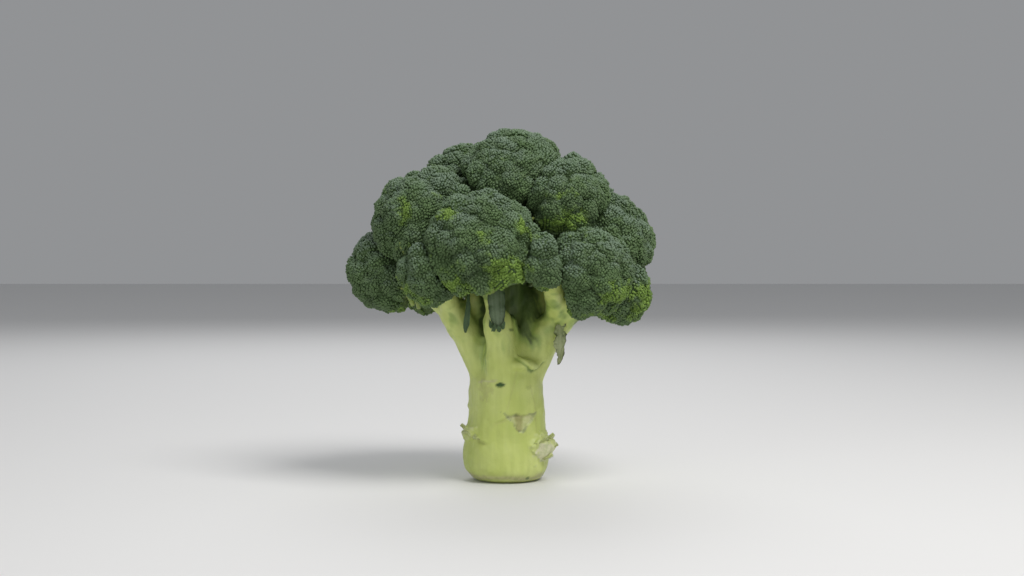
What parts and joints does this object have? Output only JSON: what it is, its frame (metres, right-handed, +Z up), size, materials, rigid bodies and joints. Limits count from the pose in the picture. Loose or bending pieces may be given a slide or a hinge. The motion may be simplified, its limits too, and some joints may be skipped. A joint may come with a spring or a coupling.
{
  "type": "broccoli head",
  "caption": "Head of broccoli: round dark-green bud clusters crowded on a pale stalk that branches like a small tree, with small leaves between its branches; it stands on its flat cut foot.",
  "frame": {"origin": "middle of the flat cut at the stalk's foot", "axes": "+Z up the stalk, towards the crown; +X to the right and -Y the front, where the small upright leaf shows between the branches"},
  "size_m": [0.1519, 0.1294, 0.1741],
  "materials": {
    "stalk": "smooth pale green plant skin with a faint wax bloom and tan scars",
    "buds": "matt blue-green closed flower buds with yellow-green patches",
    "leaf": "matt grey-green leaf with paler veins"
  },
  "bodies": {
    "root": {"stalk": "stalk", "floret_left": "buds", "floret_upper_left": "buds", "floret_front_left": "buds", "floret_front": "buds", "floret_front_middle": "buds", "floret_right": "buds", "floret_front_right": "buds", "floret_lower_right": "buds", "floret_top": "buds", "floret_top_left": "buds", "floret_upper_right": "buds", "floret_back": "buds", "floret_back_top": "buds", "floret_back_left": "buds", "floret_back_right": "buds", "leaf_front": "leaf", "leaf_left": "leaf", "leaf_right": "leaf"}
  },
  "joints": []
}
